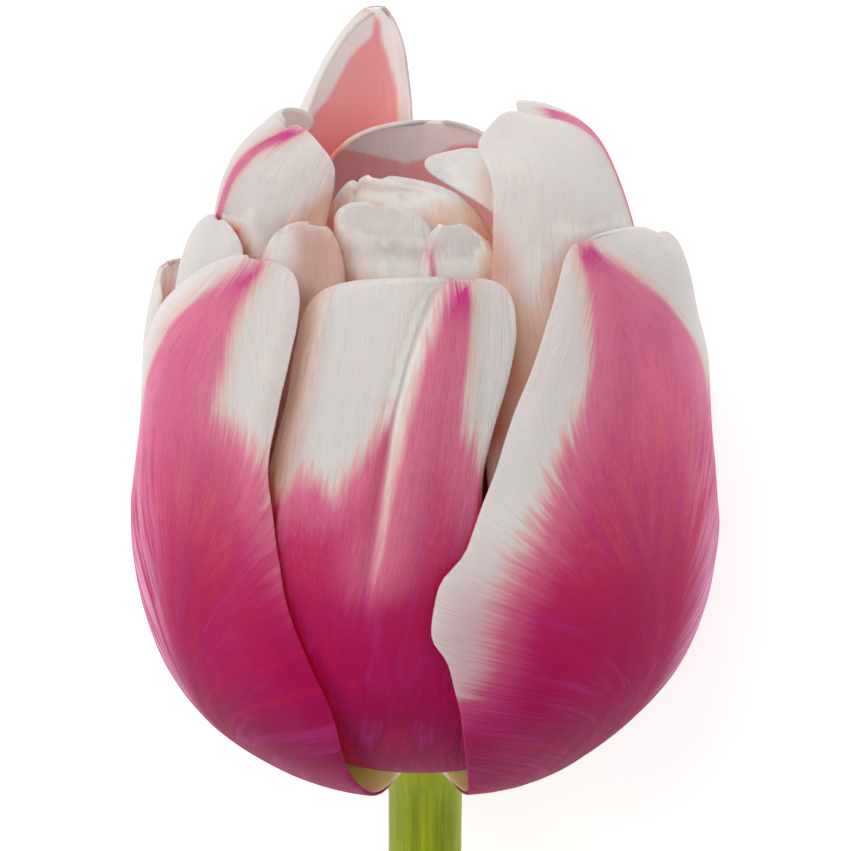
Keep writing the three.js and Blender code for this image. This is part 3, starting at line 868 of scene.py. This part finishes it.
grow_petal(
    "second_petal_front", ring=1, turn=-10, lean=20, heel=0.25,
    belly=28.8, shoulder=25.8, tip=22.2, height=56.7,
    left=[4.1, 9, 16, 20, 21, 20, 18.5, 17.5], right=[4.1, 9, 13, 12, 7.5, 3.6, 5.3, 7.8],
    blunt=(30, 14), streak=1.0, fan=0.3, roll=(1.0, 0.3), wave=0.2, columns=110,
    warmth=[
        (-30, 1.2), (-14.6, 1.0), (-15.2, 0.857), (-16, 0.71), (-16.2, 0.57), (-15.4, 0.4), (-12, 0.3),
    ],
    fold=([-5, -5, -5, -5, -5.1, -5.6, -4.4, -1.4], 1.3, (0.5, 0.68), (0.95, 1.0)),
    flame=[
        (-28, 0.62), (-17, 0.69), (-14.4, 0.72), (-11, 0.695), (-8.9, 0.745), (-6.9, 0.8), (-6.1, 0.75),
        (-5.75, 0.68), (-5.4, 0.61), (-5.25, 0.64), (-5.3, 0.71), (-4.9, 0.78), (-4.1, 0.865),
        (-2.6, 0.935), (-1.7, 0.975), (-1, 1), (0.5, 0.99), (0.45, 0.93), (0.25, 0.82), (0.8, 0.78),
        (2.4, 0.746), (3.7, 0.71), (9, 0.6),
    ],
)
grow_petal(
    "second_petal_left", ring=1, turn=-106, lean=4, heel=1.2,
    belly=29.2, shoulder=29.1, tip=28.1, height=50.8,
    left=[4.1, 9, 15, 20, 21, 20, 18, 17], right=[3.4, 7, 9, 7.5, 5, 5.5, 11, 13],
    blunt=(4, 30), streak=1.5, fan=6, wave=0.4, nicks=[(11, 0.8, 0.8), (7, 0.5, 0.7)],
    blush=[(-30, 0.5), (30, 0.5)],
    flame=[
        (-26, 0.4), (-15, 0.62), (-8, 0.76), (-3, 0.88), (-0.8, 0.98), (0.8, 0.98), (2.5, 0.88),
        (5, 0.76), (8, 0.64), (12, 0.45), (20, 0.3),
    ],
)
grow_petal(
    "second_petal_right", ring=1, turn=120, lean=-3, heel=1.2,
    belly=29, shoulder=26.2, tip=24.4, height=53,
    left=[4.1, 9, 15, 20, 22, 21, 18, 13], right=[4.1, 9, 15, 20, 21, 20, 17, 12],
    blunt=(12, 12), streak=1.5, fan=6, wave=0.4,
    flame=[
        (-28, 0.45), (-17, 0.62), (-11, 0.74), (-5.5, 0.87), (-1.8, 0.95), (-0.6, 1), (0.6, 1),
        (1.8, 0.95), (5.5, 0.87), (11, 0.74), (17, 0.62), (28, 0.45),
    ],
)

# --- Third whorl ---------------------------------------------------------------------------------
# These petals stand taller than the outer ones: a narrow white one on the left, a broad one on the
# right that arches in over the bloom and carries its stripe at its outer edge, and the tall
# pointed one at the back that shows its salmon inner face.

grow_petal(
    "third_petal_left", ring=2, turn=-86, lean=18, heel=0.5,
    belly=27, shoulder=25.3, neckline=0.87, tip=23.2, height=59.6, cup=-0.3,
    left=[2.8, 7.2, 13, 16, 15, 12.5, 11, 9], right=[3.4, 7, 9.3, 10, 10, 9, 7.8, 7.4],
    blunt=(9, 24), fan=3, wave=0.5,
    flame=[(-24, 0.3), (-8, 0.6), (-3, 0.72), (0, 0.76), (3, 0.7), (7, 0.6), (16, 0.4)],
)
grow_petal(
    "third_petal_right", ring=2, turn=90, lean=0, heel=0.8,
    belly=27, shoulder=18.4, neckline=0.93, tip=10.2, height=69,
    left=[3.4, 10, 21, 32, 35.5, 31, 21.7, 13.5], right=[3.4, 8, 13, 16.5, 16.5, 16.5, 16, 12],
    blunt=(30, 8), fan=3, streak=0.7, wave=0.4, nicks=[(-7.5, -1.4, 4), (0.5, 0.7, 2)],
    warmth=[
        (-30, 1.1), (-23.5, 0.84), (-23.5, 0.74), (-27, 0.66), (-27, 0.6), (-14, 0.5), (-8, 0.3),
    ],
    flame=[
        (-26, 0.25), (-12, 0.5), (-6, 0.66), (-2, 0.76), (-0.9, 0.84), (-0.4, 0.92), (0.3, 0.955),
        (3, 0.96), (3.5, 0.9), (4.4, 0.82), (8, 0.66), (14, 0.5), (24, 0.3),
    ],
    blush=[(-30, 0.5), (-12, 0.62), (0, 0.7), (12, 0.62), (30, 0.5)],
)
grow_petal(
    "third_petal_rear", ring=2, turn=196, lean=6, heel=0.8,
    belly=25, shoulder=17.8, neckline=0.8, tip=14, height=77, cup=-0.3,
    left=[3.4, 7, 10, 12, 12, 10, 6.2, 4.8], right=[2.8, 6, 9.5, 12.5, 14.5, 17.9, 17.3, 8.2],
    blunt=(8, 6), fan=2, roll=(1.3, 1.8), wave=0.9, streak=1.0,
    flame=[
        (-18, 0.4), (-9, 0.6), (-4, 0.78), (-1.6, 0.9), (-0.9, 0.965), (-0.5, 1), (0.5, 1),
        (0.9, 0.965), (1.6, 0.9), (4, 0.78), (9, 0.6), (18, 0.4),
    ],
    blush=[
        (-16, 0.7), (-4.6, 0.82), (-3.8, 0.868), (-3.3, 0.899), (-2.5, 0.92), (-1.7, 0.938),
        (-1, 0.953), (-0.7, 0.976), (0, 0.985), (0.1, 0.957), (1.4, 0.948), (2.8, 0.935), (4, 0.915),
        (5.5, 0.897), (7, 0.888), (16, 0.75),
    ],
)

# --- Fourth whorl --------------------------------------------------------------------------------
# Two petals grow from the next ring up: a narrow flap that fills the gap in front on the left, and
# a broad one that leans in from behind, greyish mauve where its blade is thin.

grow_petal(
    "fourth_petal_flap", ring=3, turn=-34, lean=0, heel=0.5,
    belly=25.4, shoulder=21.9, tip=20.1, height=61,
    left=[3, 6, 8, 9, 9.5, 9.5, 10.5, 12], right=[3, 6, 8.5, 8.5, 7.5, 6, 4.8, 2.8],
    blunt=(5, 30), fan=2, cup=-0.5, warmth=[(-2.5, 0.5), (-2, 1.05), (14, 1.1)], wave=0.3,
    flame=[(-16, 0.3), (-5, 0.6), (0, 0.72), (5, 0.6), (16, 0.3)],
)
grow_petal(
    "fourth_petal_mauve", ring=3, turn=175, lean=0, heel=0.2,
    belly=17.5, shoulder=15.5, tip=12, height=64.9,
    left=[3.2, 6, 9, 12, 13, 13, 13, 12], right=[3.2, 6, 9, 12, 14, 16, 17, 16],
    blunt=(10, 14), fan=2, wave=0.4,
    flame=[(-20, 0.4), (-6, 0.7), (0, 0.85), (6, 0.7), (20, 0.4)],
    blush=[
        (-20, 0.96), (-4.8, 0.95), (-1.7, 0.94), (0, 0.92), (3.3, 0.905), (8, 0.93), (13, 0.965),
        (20, 0.96),
    ],
)

# --- Fifth whorl ---------------------------------------------------------------------------------
# A deep hood on the left with a narrow magenta stripe up its back, a slim petal in front beside
# the gap, and a small white one behind. They are thin living blades like the others.

grow_petal(
    "fifth_petal_hood", ring=4, turn=-94, lean=39, lean_start=0.6, heel=0.45,
    belly=24.2, shoulder=21.3, neckline=0.905, tip=17.3, height=70, cup=1.35,
    left=[2.9, 8, 14, 17, 17, 16.5, 16.5, 17], right=[2.6, 8, 14, 17, 17, 15.6, 13, 5.5],
    blunt=(22, 18), fan=2, streak=0.5, wave=0.3, nicks=[(0, 0.6, 0.8), (-16, 1.2, 4)],
    warmth=[(7, 0.6), (9, 0.82), (13, 0.9), (22, 1.0)],
    flame=[
        (-24, 0.3), (-8, 0.55), (-3, 0.68), (-1.2, 0.77), (-0.9, 0.85), (-0.8, 0.9), (-0.4, 0.94),
        (0, 0.985), (1.4, 0.998), (3, 0.985), (2.6, 0.94), (1.2, 0.9), (0.7, 0.85), (0.9, 0.77),
        (3, 0.68), (8, 0.55), (24, 0.3),
    ],
)
grow_petal(
    "fifth_petal_front", ring=4, turn=14, lean=-6, heel=0.3,
    belly=21.8, shoulder=19.4, tip=17.6, height=61.3,
    left=[2.9, 5, 6, 6, 5, 4.2, 4.1, 3.8], right=[2.9, 6, 8, 9, 10, 11.5, 12.6, 6.5],
    blunt=(12, 4.5), fan=2, streak=0.4, wave=0.3,
    flame=[
        (-9, 0.5), (-2.5, 0.7), (-2, 0.8), (-2.3, 0.94), (-1.9, 0.942), (-1.2, 0.87),
        (-0.9, 0.8), (2.5, 0.66), (12, 0.5),
    ],
)
grow_petal(
    "fifth_petal_back", ring=4, turn=103, lean=-49, heel=0.2,
    belly=16.6, shoulder=15.2, neckline=0.9, tip=7, height=66,
    left=[2.9, 4.5, 5, 5.5, 5.5, 5.5, 6.5, 12], right=[2.9, 5, 7, 8, 9, 9, 8, 6],
    blunt=(24, 8), fan=2, streak=0.6, wave=0.3,
    flame=[(-14, 0.4), (-4, 0.65), (-0.9, 0.8), (0, 0.82), (0.9, 0.8), (4, 0.65), (14, 0.4)],
)

# --- Heart of the bloom --------------------------------------------------------------------------
# The last two petals grow from the top rings of the receptacle, soft and thin. They are folded
# over each other in the middle of the bloom, and close over stamens and pistil.

grow_petal(
    "heart_petal_front", ring=5, turn=-17, lean=0, heel=0,
    belly=20.2, shoulder=17.8, neckline=0.88, tip=16.1, height=62.8,
    left=[2.4, 6, 8, 9, 8, 6, 4.8, 9.9], right=[2.6, 6, 8, 9, 9, 8.5, 8, 7.2],
    blunt=(10, 10), fan=2, wave=0.3, grooves=[(0.88, 0.5, 0.016), (0.93, -0.3, 0.02)],
    flame=[(-14, 0.4), (-4, 0.6), (0, 0.7), (4, 0.6), (14, 0.4)],
)
grow_petal(
    "heart_petal_back", ring=6, turn=6, lean=-32, heel=0,
    belly=13.9, shoulder=13.2, tip=11.6, height=64.4,
    left=[2.4, 5, 7, 9, 9, 9, 9, 8], right=[2.4, 5, 8, 11, 13.5, 15.5, 17, 17],
    blunt=(8, 7), fan=2, wave=0.4, nicks=[(-2.4, 1.2, 0.4)], grooves=[(0.965, 0.35, 0.012)],
    flame=[(-14, 0.4), (-4, 0.65), (0, 0.75), (4, 0.65), (18, 0.4)],
)

# --- Warm light between the petals ---------------------------------------------------------------
# Light that gets in between the petals has passed through them or bounced off them, so it is warm.
# Each point of a petal stores how much its neighbours hide it, outside and inside, and the finishes
# paint that light, and the shade in the gaps, into its colour.

HIDING_REACH = 14 * MILLIMETRE
RAY_START = 1.0 * MILLIMETRE
RAY_TILT = 0.9
RAY_COUNT = 12


def hidden_share(tree, place, normal):
    """Share of some rays, one along the normal and the rest tilted round it, that hit a petal."""
    sideways = normal.orthogonal()
    start = place + normal * RAY_START
    hits = 0
    for number in range(RAY_COUNT + 1):
        ray = normal
        if number > 0:
            spin = Matrix.Rotation(number * 2 * math.pi / RAY_COUNT, 3, normal)
            ray = (normal * math.cos(RAY_TILT) + spin @ sideways * math.sin(RAY_TILT)).normalized()
        if tree.ray_cast(start, ray, HIDING_REACH)[0] is not None:
            hits += 1
    return hits / (RAY_COUNT + 1)


corners, faces = [], []
for blade in petals:
    first = len(corners)
    corners.extend(vert.co.copy() for vert in blade.data.vertices)
    faces.extend([first + number for number in face.vertices] for face in blade.data.polygons)
blades_tree = BVHTree.FromPolygons(corners, faces)
for blade in petals:
    hidden = blade.data.attributes.new("hidden", "FLOAT_VECTOR", "POINT")
    for vert, item in zip(blade.data.vertices, hidden.data):
        outside = hidden_share(blades_tree, vert.co, vert.normal)
        inside = hidden_share(blades_tree, vert.co, -vert.normal)
        item.vector = (outside, inside, 0)

# --- Table, light and camera ---------------------------------------------------------------------
# The flower lies on a plain white table top that reaches far beyond the picture, among three large
# soft lamps. The camera looks down on its front, from a little towards the tips.

TABLE_HALF_SIZE = 3.0
LOOK_HEIGHT = 30
looked_at = LAID @ Vector((0, 0, LOOK_HEIGHT))


def table_finish():
    finish = Finish(
        "table top", Roughness=0.9, Specular_IOR_Level=0.2, Emission_Color=(1, 1, 1, 1),
        Emission_Strength=0.4,
    )
    weave = finish.noise(object_place(finish), scale=40, detail=3)
    colour = finish.blend(weave, srgb(250, 250, 250), srgb(252, 252, 252))
    return finish.paint(colour)


table_skin = bmesh.new()
bmesh.ops.create_grid(table_skin, x_segments=8, y_segments=8, size=TABLE_HALF_SIZE)
table_mesh = bpy.data.meshes.new("table_top")
table_skin.to_mesh(table_mesh)
table_skin.free()
table_mesh.materials.append(table_finish())
table_top = bpy.data.objects.new("table_top", table_mesh)
bpy.context.scene.collection.objects.link(table_top)


def soft_lamp(name, away, size, power):
    """A round lamp of so many metres and watts that stands away from the bloom and faces it."""
    lamp = bpy.data.lights.new(name, "AREA")
    lamp.shape = "DISK"
    lamp.size = size
    lamp.energy = power
    holder = bpy.data.objects.new(name, lamp)
    holder.location = looked_at + Vector(away)
    holder.rotation_euler = (-Vector(away)).to_track_quat("-Z", "Y").to_euler()
    bpy.context.scene.collection.objects.link(holder)


soft_lamp("key", (-0.4, 0.6, 0.9), size=0.9, power=6.6)
soft_lamp("fill", (0.7, -0.2, 0.75), size=0.8, power=1.5)
soft_lamp("rim", (-0.7, -0.6, 0.3), size=0.5, power=1.2)

WORLD_STRENGTH = 0.55
world = bpy.data.worlds.new("studio")
bpy.context.scene.world = world
world.use_nodes = True
background = world.node_tree.nodes["Background"]
background.inputs["Color"].default_value = (1, 1, 1, 1)
background.inputs["Strength"].default_value = WORLD_STRENGTH

CAMERA_ELEVATION = math.radians(17)
CAMERA_DISTANCE = 0.65
CAMERA_LENS = 260.7
AIM_LIFT = 0.0047
backwards = Vector((0, -math.cos(CAMERA_ELEVATION), math.sin(CAMERA_ELEVATION)))
backwards = Matrix.Rotation(LAY_ANGLE - math.pi / 2, 3, "X") @ backwards
camera_data = bpy.data.cameras.new("camera")
camera_data.sensor_width = 36
camera_data.lens = CAMERA_LENS
camera = bpy.data.objects.new("camera", camera_data)
camera.location = looked_at + backwards * CAMERA_DISTANCE
picture_up = Vector((0, 1, 0)) - backwards * backwards.y
picture_up.normalize()
line_of_sight = looked_at + picture_up * AIM_LIFT - camera.location
camera.rotation_euler = (math.atan2(line_of_sight.y, -line_of_sight.z), 0, 0)
bpy.context.scene.collection.objects.link(camera)
bpy.context.scene.camera = camera
bpy.context.scene.view_settings.view_transform = "Standard"
